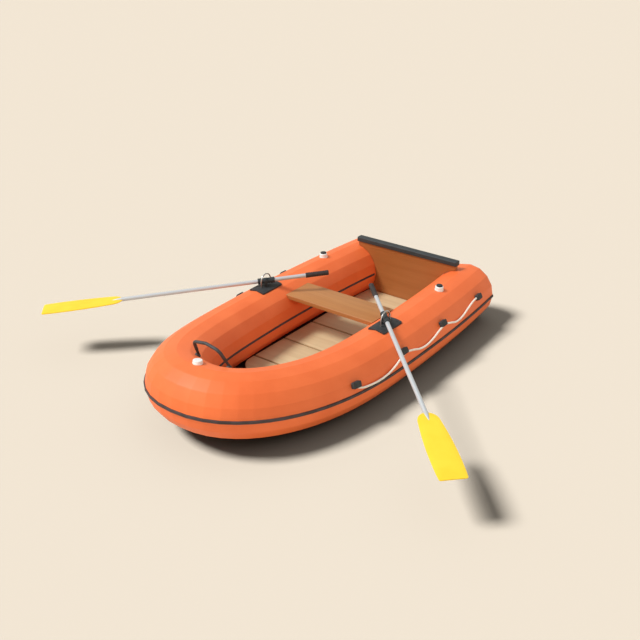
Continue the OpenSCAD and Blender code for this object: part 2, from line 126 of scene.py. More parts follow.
def between(a, b, c, d, t):
    """The smooth curve from b to c that also looks to a and d."""
    return 0.5 * (2 * b + (c - a) * t + (2 * a - 5 * b + 4 * c - d) * t ** 2
                  + (3 * b - a - 3 * c + d) * t ** 3)


def even(line, step):
    """The same line again, with its points step apart."""
    spots, left = [line[0]], step
    for a, b in zip(line, line[1:]):
        span = (b - a).length
        while left <= span:
            spots.append(a.lerp(b, left / span))
            left += step
        left -= span
    return spots


def deselect():
    """Leaves edit mode, with nothing selected."""
    if bpy.context.object and bpy.context.object.mode != "OBJECT":
        bpy.ops.object.mode_set(mode="OBJECT")
    bpy.ops.object.select_all(action="DESELECT")


def pick(piece):
    """Makes this the one object that the next operators act on."""
    deselect()
    piece.select_set(True)
    bpy.context.view_layer.objects.active = piece
    return piece


def edited(piece, *steps):
    """Runs mesh operators on the whole of a piece, as (name, settings) pairs."""
    pick(piece)
    bpy.ops.object.mode_set(mode="EDIT")
    for name, settings in steps:
        bpy.ops.mesh.select_all(action="SELECT")
        getattr(bpy.ops.mesh, name)(**settings)
    bpy.ops.object.mode_set(mode="OBJECT")
    return piece


def curve_of(points, closed):
    """A poly curve through these points."""
    data = bpy.data.curves.new("line", "CURVE")
    data.dimensions = "3D"
    spline = data.splines.new("POLY")
    spline.points.add(len(points) - 1)
    for place, point in zip(spline.points, points):
        place.co = (*point, 1)
    spline.use_cyclic_u = closed
    made = bpy.data.objects.new("line", data)
    bpy.context.scene.collection.objects.link(made)
    return made


def swept(outline, line, sizes=None, turns=None):
    """A mesh drawn from an outline along a line. The outline's x points to the line's right."""
    section = curve_of([(x, y, 0) for x, y in outline], True)
    path = curve_of(line, False)
    path.data.twist_mode = "Z_UP"
    path.data.bevel_mode = "OBJECT"
    path.data.bevel_object = section
    path.data.use_fill_caps = True
    for i, place in enumerate(path.data.splines[0].points):
        place.radius = sizes[i] if sizes else 1
        place.tilt = turns[i] if turns else 0
    pick(path)
    bpy.ops.object.convert(target="MESH")
    bpy.data.objects.remove(section)
    return edited(bpy.context.object, ("remove_doubles", {"threshold": 1e-6}),
                  ("normals_make_consistent", {"inside": False}))


def round_outline(r, sides):
    """The outline of a round bar, drawn with this many sides."""
    return [(r * cos(2 * pi * k / sides), r * sin(2 * pi * k / sides)) for k in range(sides)]


def linear(digits):
    """A colour written as six sRGB hex digits, as the shaders want it."""
    parts = [int(digits[i:i + 2], 16) / 255 for i in (0, 2, 4)]
    return [c / 12.92 if c <= 0.04045 else ((c + 0.055) / 1.055) ** 2.4 for c in parts] + [1]


def add(material, kind, inputs=(), **settings):
    """Adds a shader node with its settings. An input is a number, a colour or another's output."""
    made = material.node_tree.nodes.new("ShaderNode" + kind)
    for name, value in settings.items():
        setattr(made, name, value)
    for name, value in dict(inputs).items():
        if isinstance(value, bpy.types.NodeSocket):
            material.node_tree.links.new(value, made.inputs[name])
        else:
            made.inputs[name].default_value = value
    return made


def finish_of(name, colour, **sockets):
    """A new material and its shader, with these constants on the sockets of those names."""
    material = bpy.data.materials.new(name)
    material.use_nodes = True
    shader = material.node_tree.nodes["Principled BSDF"]
    shader.inputs["Base Color"].default_value = linear(colour)
    for socket, value in sockets.items():
        shader.inputs[socket.replace("_", " ").title().replace("Ior", "IOR")].default_value = value
    return material, shader


def blended(material, value, low, dark, high, light):
    """Turns a value into a colour: dark up to low, light from high on."""
    ramp = add(material, "ValToRGB", {"Fac": value})
    for stop, (spot, colour) in zip(ramp.color_ramp.elements, ((low, dark), (high, light))):
        stop.position = spot
        stop.color = linear(colour)
    return ramp.outputs[0]


def raised(material, shader, pattern, depth, strength=1):
    """Bumps a surface by a pattern, depth metres deep at full strength."""
    bump = add(material, "Bump", {"Height": pattern, "Distance": depth, "Strength": strength})
    material.node_tree.links.new(bump.outputs[0], shader.inputs["Normal"])


def mottled(material, shader, light, dark, cell):
    """Colours a surface with soft patches, cell metres across, between two colours."""
    place = add(material, "TexCoord").outputs["Object"]
    noise = add(material, "TexNoise", {"Vector": place, "Scale": 1 / cell, "Detail": 4})
    colour = blended(material, noise.outputs["Fac"], 0.35, dark, 0.65, light)
    material.node_tree.links.new(colour, shader.inputs["Base Color"])


def grained(material, shader, cell, depth, roughness=None):
    """Gives a surface a fine grain, cell metres across and depth metres deep."""
    place = add(material, "TexCoord").outputs["Object"]
    noise = add(material, "TexNoise", {"Vector": place, "Scale": 1 / cell, "Detail": 3})
    raised(material, shader, noise.outputs["Fac"], depth)
    if roughness:
        spread = add(material, "MapRange", {
            "Value": noise.outputs["Fac"], "To Min": roughness[0], "To Max": roughness[1]})
        material.node_tree.links.new(spread.outputs[0], shader.inputs["Roughness"])


def rounded(piece, width, angle=35, segments=3):
    """Rounds the edges of a piece that turn by more than this many degrees."""
    edge = piece.modifiers.new("round", "BEVEL")
    edge.limit_method = "ANGLE" if angle else "NONE"
    edge.angle_limit = radians(angle)
    edge.width = width
    edge.segments = segments
    pick(piece)
    bpy.ops.object.modifier_apply(modifier=edge.name)
    return piece


def fitted(piece, name, material, body, slot, *nodes, smooth=30):
    """Names a finished piece, gives it its material and puts it on its body."""
    pick(piece)
    bpy.ops.object.transform_apply(location=True, rotation=True, scale=True)
    bpy.ops.object.shade_smooth_by_angle(angle=radians(smooth))
    piece.name = piece.data.name = name
    piece.data.materials.clear()
    piece.data.materials.append(material)
    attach(piece, body)
    if nodes:
        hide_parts(*nodes)
    return piece


# Polyester cord: dull, faintly fuzzy, with fibres that catch the light unevenly.
cord_fibre, shader = finish_of("laid_polyester_cord", "FFF6E8", roughness=0.8, sheen_weight=0.25)
mottled(cord_fibre, shader, "FFFAF0", "F0E2CC", 0.004)
grained(cord_fibre, shader, 0.0008, 0.0002)

rope_line = []
for i in range(len(rope_route) - 1):
    a, b, c, d = (rope_route[max(0, min(k, len(rope_route) - 1))] for k in range(i - 1, i + 3))
    for t in (k / 20 for k in range(20)):
        rope_line.append(rope_point(
            between(a[0], b[0], c[0], d[0], t), radians(between(a[1], b[1], c[1], d[1], t))))
rope_line.append(rope_point(rope_route[-1][0], radians(rope_route[-1][1])))
rope_line = even(rope_line, rope_step)
strand = [(rope_d / 2 * (0.9 + 0.12 * abs(cos(rope_lobes / 2 * a))), a)
          for a in (2 * pi * k / 18 for k in range(18))]
for side, sign in (("port", 1), ("starboard", -1)):
    line = [Vector((p.x, sign * p.y, p.z)) for p in rope_line]
    rope = swept([(r * cos(a), r * sin(a)) for r, a in strand], line,
                 turns=[2 * pi * i * rope_step / rope_lay for i in range(len(line))])
    fitted(rope, side + "_lifeline_rope", cord_fibre, "hull", "rope_cream", side + "_lifeline",
           smooth=80)


# ---- Tube ----
# The buoyancy tube: PVC-coated polyester cut in long panels, welded edge to edge and blown up
# hard, so that each panel shows as a soft flat. Its stern ends are closed by shallow cones.
stern_dome = 0.06
transom_inset = 0.211
transom_x = stern_x + transom_inset
aft_rings = 5
fore_rings = 20
ring_bias = 1.35
dome_rings = 3
dome_step = radians(25)
dome_shape = 0.6


def bow_point(turn):
    """The middle of the tube at this many degrees round the bow curve, 90 at the stem."""
    share = sin(radians(turn)) ** (2 / bow_full[0])
    x = bow_start_x + (bow_tip_x - bow_start_x) * share
    lift = side_point(min(x, bow_tip_x - 0.0005)).z
    return Vector((x, half_beam * max(0, cos(radians(turn))) ** (2 / bow_full[1]), lift))


port_line = [side_point(stern_x + stern_dome)]
for i in range(aft_rings):
    port_line.append(side_point(transom_x + (bow_start_x - transom_x) * i / aft_rings))
for i in range(fore_rings + 1):
    port_line.append(bow_point(90 * (i / fore_rings) ** ring_bias))
starboard_line = [Vector((p.x, -p.y, p.z)) for p in reversed(port_line[:-1])]
hull_line = port_line + starboard_line

# Coated fabric: an even satin skin that shows the cloth beneath it as a faint pebble.
coated_fabric, shader = finish_of("pvc_coated_polyester", "F8773F", roughness=0.5,
                                  specular_ior_level=0.35)
mottled(coated_fabric, shader, "FA7B42", "F3733B", 0.22)
grained(coated_fabric, shader, 0.003, 0.00012, roughness=(0.46, 0.56))

caps = [(stern_dome * sin(k * dome_step) / sin(dome_rings * dome_step),
         cos(k * dome_step) ** dome_shape) for k in range(dome_rings, 0, -1)]
astern = Vector((-1, 0, 0))
line = ([port_line[0] + shift * astern for shift, size in caps] + hull_line
        + [starboard_line[-1] + shift * astern for shift, size in reversed(caps)])
sizes = ([size for shift, size in caps] + [1] * len(hull_line)
         + [size for shift, size in reversed(caps)])
staves = 16
stave_edge = 0.010
tube = swept(round_outline(tube_r, staves), line, sizes=sizes)
rounded(tube, stave_edge, angle=0)
fitted(tube, "hull_tube", coated_fabric, "hull", "orange_pvc", "main_tube", smooth=80)


# ---- Rubbing strake ----
# An extruded band of black EPDM rubber, 18 mm high, glued round the tube's widest line. It takes
# the knocks of a quay, and runs from one stern end round the bow to the other.
strake_half = 0.009
strake_edge = 0.003
sink = 0.005  # how far a glued strip's back lies inside the tube's rounded corner
strake_out = tube_flat + strake_proud

# Rubber: dull black gone brownish grey, a little chalky from the sun.
strake_rubber, shader = finish_of("extruded_epdm_rubber", "4E4341", roughness=0.75,
                                  specular_ior_level=0.3)
mottled(strake_rubber, shader, "54494A", "463C3A", 0.05)
grained(strake_rubber, shader, 0.0015, 0.0002)

half_outline = [(strake_out, 0), (strake_out, strake_half - strake_edge)]
for turn in (radians(30), radians(60), radians(90)):
    half_outline.append((strake_out - strake_edge * (1 - cos(turn)),
                         strake_half - strake_edge * (1 - sin(turn))))
half_outline.append((tube_flat - sink, strake_half))
outline = [(-x, -y) for x, y in reversed(half_outline[1:])] + [(-x, y) for x, y in half_outline]
nib = 0.001 * astern  # the strake ends this far astern of the tube's full round
strake = swept(outline, [port_line[0] + nib] + hull_line + [starboard_line[-1] + nib])
fitted(strake, "rubbing_strake", strake_rubber, "hull", "strake_rubber", "rub_strake", smooth=40)


# ---- Seam tape ----
# Black PVC tape, 15 mm wide, welded over the seam that closes the tube along its inner side. It
# runs from the transom round the bow and back.
tape_half = 0.0075
tape_out = tube_flat + 0.0017
tape_edge = 0.0006

# PVC tape: smooth, thin and dark, with a faint even sheen.
tape_sheet, shader = finish_of("welded_pvc_tape", "3F3B40", roughness=0.6)
mottled(tape_sheet, shader, "454147", "38343A", 0.08)
grained(tape_sheet, shader, 0.002, 0.0001)

outline = [(tube_flat - sink, -tape_half), (tape_out - tape_edge, -tape_half),
           (tape_out, tape_edge - tape_half), (tape_out, tape_half - tape_edge),
           (tape_out - tape_edge, tape_half), (tube_flat - sink, tape_half)]
tape = swept(outline, hull_line[1:-1])
fitted(tape, "inner_seam_tape", tape_sheet, "hull", "seam_tape", "seam_tape", smooth=40)


# ---- Floor skin ----
# A sheet of black reinforced PVC, 4 mm thick with its glue lines, stretched under the boards and
# welded to the lower inner side of the tube. It rises at the bow with the foremost board.

# Reinforced sheet: the woven scrim prints through the black skin as a small square grid.
scrim = 0.004  # drawn four times too coarse, so that it shows
skin_sheet, shader = finish_of("scrim_reinforced_pvc", "1B1A1B", roughness=0.55)
place = add(skin_sheet, "TexCoord").outputs["Object"]
parts = add(skin_sheet, "SeparateXYZ", {"Vector": place})
threads = []
for axis in ("X", "Y"):
    turns = add(skin_sheet, "Math", {0: parts.outputs[axis], 1: 2 * pi / scrim}, operation="MULTIPLY")
    threads.append(add(skin_sheet, "Math", {0: turns.outputs[0]}, operation="SINE"))
weave = add(skin_sheet, "Math", {0: threads[0].outputs[0], 1: threads[1].outputs[0]},
            operation="MAXIMUM")
raised(skin_sheet, shader, weave.outputs[0], 0.0003, 0.6)
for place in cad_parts["floor_skin"].material_slots:
    place.material = skin_sheet


# ---- Floor boards ----
# Five boards of 13 mm marine plywood laid across the boat on the floor skin, 10 mm apart, with
# their face grain athwart. The foremost has a round nose. Their edges are rounded over.
ply = 0.0026
edge_from = 0.96  # a face is an edge where its normal's upright part is less than this


def merged_copy(node):
    """A new object with a CAD node's shape, its loose triangles merged into whole faces."""
    made = bpy.data.objects.new(node + "_copy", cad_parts[node].data.copy())
    bpy.context.scene.collection.objects.link(made)
    return edited(made, ("remove_doubles", {"threshold": 1e-5}),
                  ("dissolve_limited", {"angle_limit": radians(1)}))


def timber(name, light, dark, grain, offset, roughness, plies=None):
    """Wood with its fibres across the boat, and plies that show on the edges of a board."""
    material, shader = finish_of(name, light, roughness=roughness)
    place = add(material, "TexCoord").outputs["Object"]
    place = add(material, "Mapping", {"Vector": place, "Location": offset, "Scale": (1, 0.05, 1)})
    fibre = add(material, "TexNoise", {
        "Vector": place.outputs[0], "Scale": 1 / grain, "Detail": 5, "Distortion": 0.3})
    band = add(material, "TexNoise", {
        "Vector": place.outputs[0], "Scale": 1 / (12 * grain), "Detail": 3, "Distortion": 0.8})
    tone = add(material, "MapRange", {"Value": fibre.outputs["Fac"], "To Min": -0.2, "To Max": 0.2})
    tone = add(material, "Math", {0: band.outputs["Fac"], 1: tone.outputs[0]}, operation="ADD")
    face = blended(material, tone.outputs[0], 0.3, dark, 0.66, light)
    if plies:
        place = add(material, "TexCoord").outputs["Object"]
        height = add(material, "SeparateXYZ", {"Vector": place})
        layer = add(material, "Math", {0: height.outputs["Z"], 1: pi / ply}, operation="MULTIPLY")
        layer = add(material, "Math", {0: layer.outputs[0]}, operation="SINE")
        layer = add(material, "Math", {0: layer.outputs[0], 1: 0}, operation="GREATER_THAN")
        core = add(material, "Mix", {"Factor": layer.outputs[0]}, data_type="RGBA")
        core.inputs["A"].default_value = linear(plies[0])
        core.inputs["B"].default_value = linear(plies[1])
        normal = add(material, "NewGeometry").outputs["Normal"]
        normal = add(material, "SeparateXYZ", {"Vector": normal})
        level = add(material, "Math", {0: normal.outputs["Z"]}, operation="ABSOLUTE")
        edge = add(material, "Math", {0: level.outputs[0], 1: edge_from}, operation="LESS_THAN")
        both = add(material, "Mix", {
            "Factor": edge.outputs[0], "A": face, "B": core.outputs["Result"]}, data_type="RGBA")
        face = both.outputs["Result"]
    material.node_tree.links.new(face, shader.inputs["Base Color"])
    raised(material, shader, fibre.outputs["Fac"], 0.0003, 0.5)
    return material


# Marine plywood: pale straw-coloured face veneer with long fine grain under a thin matt varnish,
# and browner plies along each rounded edge. No two boards are cut from the same veneer.
for i in range(1, 6):
    node = "floor_slat_%d" % i
    veneer = timber("varnished_marine_plywood_%d" % i, "DCC69B", "D3BB90", 0.003,
                    (1.7 * i, 0.31 * i, 0), 0.55, ("D0B486", "B08F62"))
    fitted(rounded(merged_copy(node), 0.0042), "floor_board_%d" % i, veneer, "hull",
           "slat_plywood", node)


# ---- Transom ----
# A board of 28 mm stained mahogany plywood glued between the tubes, with a lug over each. It
# closes the stern, and a small motor can be clamped to it.

# Stained mahogany: an even red-brown with long dark pores, sealed with a satin oil.
mahogany = timber("stained_mahogany_ply", "A96A37", "A26330", 0.004, (0, 0.4, 0), 0.5)
fitted(rounded(merged_copy("transom"), 0.003), "transom_board", mahogany, "hull",
       "stained_wood", "transom")


# ---- Cap rail ----
# A channel of black moulded polypropylene pushed down over the transom's top edge, 50 mm deep. Its
# edges and its two ends are well rounded.

# Moulded polypropylene: near-black, with the fine even spark-eroded texture of its mould.
moulded_black, shader = finish_of("textured_black_polypropylene", "2D3335", roughness=0.6)
mottled(moulded_black, shader, "30373A", "293033", 0.03)
grained(moulded_black, shader, 0.0012, 0.0002, roughness=(0.5, 0.68))
fitted(rounded(merged_copy("transom_cap"), 0.006, segments=4), "transom_cap_rail", moulded_black,
       "hull", "cap_plastic", "transom_cap")


# ---- Thwart ----
# The rower's seat: one 27 mm board of oiled pine, 232 mm wide, its ends cut to the round of the
# tubes that it is wedged between. Its edges are rounded over.

# Oiled pine: warm mid-brown with broad soft growth bands along the board.
pine = timber("oiled_pine", "BC8048", "B0743F", 0.0045, (0.3, 0, 0.2), 0.5)
fitted(rounded(merged_copy("thwart"), 0.004), "thwart_board", pine, "hull", "thwart_wood", "thwart")


# ---- Rope patches ----
# Four moulded rubber patches a side, 60 by 35 mm, glued to the tube. The lifeline is threaded
# through each one and ends in the first and the last.


def mirrored(piece):
    """Turns a port piece into the starboard one."""
    piece.data.transform(Matrix.Diagonal((1, -1, 1, 1)))
    return edited(piece, ("normals_make_consistent", {"inside": False}))


def pair(piece, name, material, body, slot, *nodes, smooth=30):
    """Fits a port piece, and its mirror image to starboard. Without a body they go on the hull."""
    pick(piece)
    bpy.ops.object.transform_apply(location=True, rotation=True, scale=True)
    other = bpy.data.objects.new("other", piece.data.copy())
    bpy.context.scene.collection.objects.link(other)
    for side, each in (("port_", piece), ("starboard_", mirrored(other))):
        fitted(each, side + name, material, side + body if body else "hull", slot,
               *(side + node for node in nodes), smooth=smooth)


# Moulded rubber: soft black with a dusty bloom.
moulded_rubber, shader = finish_of("moulded_black_rubber", "333536", roughness=0.72)
mottled(moulded_rubber, shader, "383A3B", "2D2F30", 0.02)
grained(moulded_rubber, shader, 0.0015, 0.0003)
pair(rounded(merged_copy("port_rope_patches"), 0.004, angle=30), "rope_patch_set", moulded_rubber,
     None, "black_plastic", "rope_patches")


# ---- Valves ----
# Three inflation valves of white moulded nylon, each in a ring welded to the tube: one a side at
# the stern, under a black screw cap with a ribbed rim, and one on the bow.
valve_r = 0.0275
valve_barrel_r = valve_r - 0.0015
valve_ring_h = 0.004
valve_slope_h = 0.006
valve_plain_h = 0.010
valve_rim = 0.005
valve_foot = tube_r - 0.009
valve_seat = tube_r + 0.0003
stern_valve_h = 0.024
bow_valve_h = 0.018
valve_top = valve_seat + stern_valve_h
cap_r = 0.0195
cap_h = 0.009
cap_ribs = 20
cap_groove = 0.0012
turning_steps = 48


def turned(profile, closed=False):
    """A piece turned about the X axis, from (place along it, radius) points."""
    pick(curve_of([(x, 0, r) for x, r in profile], closed))
    bpy.ops.object.convert(target="MESH")
    full_turn = {"steps": turning_steps, "angle": 2 * pi, "center": (0, 0, 0), "axis": (1, 0, 0)}
    return edited(bpy.context.object, ("spin", full_turn),
                  ("remove_doubles", {"threshold": 1e-6}),
                  ("normals_make_consistent", {"inside": False}))


def put(piece, origin, direction):
    """Moves a piece made along the X axis so that it starts here and points that way."""
    turn = Vector(direction).to_track_quat("X", "Z").to_matrix().to_4x4()
    piece.data.transform(Matrix.Translation(origin) @ turn)
    return piece


def corner(x, r, size, end):
    """A rounded corner in a turned profile: into the outer face at 1, or out of it at 0."""
    turns = [pi / 2 * (end + 1 - k / 4) for k in range(5)]
    return [(x + size * cos(a), r + size * sin(a)) for a in turns]


# Moulded nylon: clean white with a soft gloss, gone very slightly yellow.
white_nylon, shader = finish_of("white_moulded_nylon", "F7F5F2", roughness=0.35)
mottled(white_nylon, shader, "FAF8F6", "F1EEE9", 0.01)
grained(white_nylon, shader, 0.001, 0.00006)


def valve_profile(top):
    """A wide ring, a plain barrel and a rounded rim, from inside the tube up to this radius."""
    ring = [(valve_foot, 0), (valve_foot, valve_r), (tube_r + valve_ring_h, valve_r),
            (tube_r + valve_slope_h, valve_barrel_r), (tube_r + valve_plain_h, valve_barrel_r)]
    return ring + corner(top - valve_rim, valve_barrel_r - valve_rim, valve_rim, 0) + [(top, 0)]


valve_x = -0.682
valve_angle = radians(87)
turn = side_slope(valve_x)
valve_way = Vector((-sin(turn) * cos(valve_angle), cos(turn) * cos(valve_angle), sin(valve_angle)))
valve = put(turned(valve_profile(valve_top)), side_point(valve_x), valve_way)
pair(valve, "stern_valve", white_nylon, None, "valve_plastic", "valve")

ribs = [((cap_r if k % 4 < 2 else cap_r - cap_groove), 2 * pi * k / (4 * cap_ribs))
        for k in range(4 * cap_ribs)]
# The rim by height and share of the cap's radius: a rounded edge round a shallow dish.
rim = [(0, 1), (cap_h - 0.0025, 1), (cap_h - 0.0008, 0.97), (cap_h, 0.9), (cap_h, 0.55),
       (cap_h - 0.0015, 0.5), (cap_h - 0.0015, 0.1)]
cap = swept([(r * cos(a), r * sin(a)) for r, a in ribs], [(valve_top + x, 0, 0) for x, k in rim],
            sizes=[k for x, k in rim])
pair(put(cap, side_point(valve_x), valve_way), "stern_valve_screw_cap", moulded_black, None,
     "black_plastic", "valve_cap")

bow_valve_back = radians(8)
stem = Vector((bow_tip_x, 0, tube_flat + bow_rise))
bow_valve = put(turned(valve_profile(valve_seat + bow_valve_h)), stem,
                (-sin(bow_valve_back), 0, cos(bow_valve_back)))
fitted(bow_valve, "bow_valve_body", white_nylon, "hull", "valve_plastic", "bow_valve")


# ---- Bow handle ----
# A staple of 18 mm bar sheathed in grey rubber, bent over at its two corners and leaning to the
# bow. Each end stands on a round foot that is glued to the tube.
handle_r = 0.009
handle_turn = 73  # where the feet stand, in degrees round the bow curve
handle_angle = radians(126)
handle_seat = 0.0015
handle_rise = 0.109
handle_lean = 0.047
handle_in = 0.023
handle_arch = 0.015
handle_bend = 0.026
foot_r = 0.016
foot_t = 0.005
foot_edge = 0.002
foot_collar = 0.003
foot_sunk = 0.008
start = bow_point(handle_turn)
ahead = (bow_point(handle_turn + 1) - bow_point(handle_turn - 1)).normalized()
outward = Vector((0, 0, 1)).cross(ahead).normalized()
foot_way = cos(handle_angle) * outward + sin(handle_angle) * ahead.cross(outward)
foot = start + (tube_r + handle_seat) * foot_way
foot_top = foot + foot_t * foot_way
bend = foot + Vector((handle_lean, -handle_in, handle_rise))
arch_top = Vector((bend.x, 0, bend.z + handle_arch))
before = bend + handle_bend * (foot_top - bend).normalized()
after = bend + handle_bend * (arch_top - bend).normalized()
half = [foot_top - foot_collar * foot_way, foot_top, (foot_top + before) / 2]
for t in (k / 8 for k in range(9)):
    half.append((1 - t) ** 2 * before + 2 * t * (1 - t) * bend + t * t * after)
line = half + [arch_top] + [Vector((p.x, -p.y, p.z)) for p in reversed(half)]

# Rubber sheath: smooth charcoal, worn slightly shiny in patches.
sheath, shader = finish_of("charcoal_rubber_sheath", "3A3C3D", roughness=0.55)
mottled(sheath, shader, "424445", "333536", 0.03)
grained(sheath, shader, 0.002, 0.0002, roughness=(0.45, 0.65))
handle = swept(round_outline(handle_r, 24), line)
fitted(handle, "bow_carrying_handle", sheath, "hull", "handle_rubber", "bow_handle", smooth=50)
foot_profile = [(-foot_sunk, 0), (-foot_sunk, foot_r)]
foot_profile += corner(foot_t - foot_edge, foot_r - foot_edge, foot_edge, 0)
foot_profile += [(foot_t, handle_r + 0.001), (foot_t + foot_collar, handle_r),
                 (foot_t + foot_collar, 0)]
pair(put(turned(foot_profile), foot, foot_way), "handle_foot", sheath, None, "handle_rubber")


# ---- Rowlocks ----
# A moulded rubber pad is glued on top of each tube. An 8 mm stainless hoop stands in it, arched
# over the oar, and a plastic yoke turns on a pin in its boss.
rowlock_x = -0.070
rowlock_y = side_y(rowlock_x)
oar_over = 0.040
oar_z = 2 * tube_flat + oar_over
hoop_r = 0.046
hoop_bar_r = 0.004
hoop_foot = 0.0023  # how high above the tube's round top the legs end, inside the pad
pad_drop = 0.0035  # how far the pad's underside is let down, to meet the tube's flats


def chosen(piece, rule):
    """Opens a piece for editing with only those faces selected whose middle and normal fit."""
    edited(piece, ("select_mode", {"type": "FACE"}), ("select_all", {"action": "DESELECT"}))
    for face in piece.data.polygons:
        face.select = rule(face.center, face.normal)
    bpy.ops.object.mode_set(mode="EDIT")


pad = merged_copy("port_rowlock_pad")
chosen(pad, lambda middle, normal: normal.z < -0.7)
bpy.ops.transform.translate(value=(0, 0, -pad_drop))
bpy.ops.object.mode_set(mode="OBJECT")
pair(rounded(pad, 0.0018), "rowlock_base_pad", moulded_rubber, None, "black_plastic", "rowlock_pad")

# Stainless rod: bright and lightly brushed, with a fine even grain.
stainless, shader = finish_of("brushed_stainless_rod", "C2C2C1", metallic=1.0, roughness=0.4)
grained(stainless, shader, 0.0008, 0.00005, roughness=(0.28, 0.42))
turn = side_slope(rowlock_x)
ahead = Vector((cos(turn), sin(turn), 0))
middle = Vector((rowlock_x, rowlock_y, oar_z))
leg = Vector((0, 0, tube_flat + tube_r + hoop_foot - oar_z))
arch = [middle - hoop_r * cos(a) * ahead + Vector((0, 0, hoop_r * sin(a)))
        for a in (pi * k / 24 for k in range(25))]
line = [arch[0] + leg, arch[0] + leg / 2] + arch + [arch[-1] + leg / 2, arch[-1] + leg]
hoop = swept(round_outline(hoop_bar_r, 16), line)
pair(hoop, "rowlock_hoop", stainless, None, "hoop_steel", "hoop", smooth=50)
pair(rounded(merged_copy("port_yoke"), 0.0012, segments=2), "rowlock_yoke", moulded_black, "yoke",
     "black_plastic", "yoke")


# ---- Oars ----
# Each oar is a drawn aluminium tube, 25 mm across, with a ribbed rubber grip pushed over its
# inboard end. It turns in a plastic sleeve between two clamped stop rings.
oar_ahead = 44  # degrees that the oar points ahead of straight out
oar_dip = 5  # degrees that its outer end points down
oar_yaw = radians(90 - oar_ahead)
oar_frame = (Matrix.Translation(middle) @ Matrix.Rotation(oar_yaw, 4, "Z")
             @ Matrix.Rotation(radians(oar_dip), 4, "Y"))
shaft_r = 0.0125
clamped_r = shaft_r - 0.0002
running_r = shaft_r + 0.00005
sleeve_r = 0.019
sleeve_ends = (-0.046, 0.036)
stop_ends = {"outer_stop": (0.0365, 0.0505), "inner_stop": (-0.0555, -0.0465)}
grip_r = 0.016
grip_end = 0.401
grip_l = 0.147
blade_start = 0.898


def on_oar(piece):
    """Moves a piece made along the X axis onto the port oar, which starts at its rowlock."""
    piece.data.transform(oar_frame)
    return piece


def ring_profile(x0, x1, bore, r, edge):
    """The closed profile of a turned ring with rounded outer edges."""
    return ([(x0, bore)] + corner(x0 + edge, r - edge, edge, 1)
            + corner(x1 - edge, r - edge, edge, 0) + [(x1, bore)])


flange = 0.008
waist_in = 0.0015
waist = sleeve_r - waist_in
x0, x1 = sleeve_ends
sleeve_profile = ring_profile(x0, x1, running_r, sleeve_r, waist_in)
middle_cut = [(x0 + flange, sleeve_r), (x0 + flange + waist_in, waist), (-0.011, waist),
              (-0.010, sleeve_r), (0.010, sleeve_r), (0.011, waist),
              (x1 - flange - waist_in, waist), (x1 - flange, sleeve_r)]
sleeve_profile[6:6] = middle_cut
pair(on_oar(turned(sleeve_profile, closed=True)), "rowlock_sleeve", moulded_black, "sleeve",
     "black_plastic", "sleeve")

for name, (x0, x1) in stop_ends.items():
    stop = on_oar(turned(ring_profile(x0, x1, clamped_r, sleeve_r, 0.0025), closed=True))
    nodes = ("stops",) if name == "outer_stop" else ()
    pair(stop, name, moulded_black, "oar", "black_plastic", *nodes)

shaft_start = 0.012 - grip_end  # inside the grip's closed end
neck = blade_start + 0.004
neck_taper = [(0.03, 0.0092), (0.06, 0.0046), (0.068, 0)]

# Drawn aluminium: pale grey and anodised to a satin, with hair-fine die lines along the tube.
for side, sign in (("port_", 1), ("starboard_", -1)):
    drawn, shader = finish_of(side + "anodised_drawn_aluminium", "C4C9CC", metallic=0.2,
                              roughness=0.42, specular_ior_level=0.5)
    place = add(drawn, "TexCoord").outputs["Object"]
    place = add(drawn, "Mapping", {"Vector": place, "Rotation": (0, 0, -sign * oar_yaw)})
    place = add(drawn, "Mapping", {"Vector": place.outputs[0], "Scale": (0.02, 1, 1)})
    lines = add(drawn, "TexNoise", {"Vector": place.outputs[0], "Scale": 1 / 0.0012, "Detail": 3})
    colour = blended(drawn, lines.outputs["Fac"], 0.3, "BEC3C6", 0.7, "CCD1D4")
    drawn.node_tree.links.new(colour, shader.inputs["Base Color"])
    raised(drawn, shader, lines.outputs["Fac"], 0.00005)
    shaft = on_oar(turned([(shaft_start, 0)]
                          + [(x, shaft_r) for x in (shaft_start, -0.25, 0, 0.3, 0.6, neck)]
                          + [(neck + x, r) for x, r in neck_taper]))
    if sign < 0:
        mirrored(shaft)
    fitted(shaft, side + "oar_shaft", drawn, side + "oar", "oar_alloy", side + "shaft")

# Grip rubber: black, matt and slightly tacky, ribbed so that a wet hand holds it.
grip_rubber, shader = finish_of("ribbed_grip_rubber", "3A3230", roughness=0.8)
mottled(grip_rubber, shader, "3F3735", "332C2A", 0.02)
grained(grip_rubber, shader, 0.0012, 0.0002)
grip_round = 0.006
grip_edge = 0.002
bore_start = 0.02 - grip_end
groove_start = 0.022 - grip_end
groove_pitch = 0.011
groove_r = grip_r - 0.0014
grooves = 9
grip_profile = [(-grip_end, 0)] + corner(grip_round - grip_end, grip_r - grip_round, grip_round, 1)
for k in range(grooves):
    x = groove_start + groove_pitch * k
    grip_profile += [(x, grip_r), (x + 0.0015, groove_r), (x + 0.0035, groove_r),
                     (x + 0.005, grip_r)]
grip_profile += corner(grip_l - grip_end - grip_edge, grip_r - grip_edge, grip_edge, 0)
grip_profile += [(grip_l - grip_end, clamped_r), (bore_start, clamped_r), (bore_start, 0)]
pair(on_oar(turned(grip_profile)), "oar_grip", grip_rubber, "oar", "grip_rubber", "grip")


# ---- Blades ----
# Each blade is one injection moulding of yellow polypropylene, 490 mm long, crowned on both faces,
# with round shoulders, bulging sides and a square tip. The shaft's tapered end is let into it.
blade_l = 0.490
neck_w = 0.096
tip_w = 0.137
bulge = 0.025
shoulder_l = 0.070
tip_round = 0.010
blade_t = 0.009


def blade_half(s):
    """Half the blade's width, this far down from its top."""
    t = s / blade_l
    return (neck_w + (tip_w - neck_w) * t + 4 * bulge * t * (1 - t)) / 2


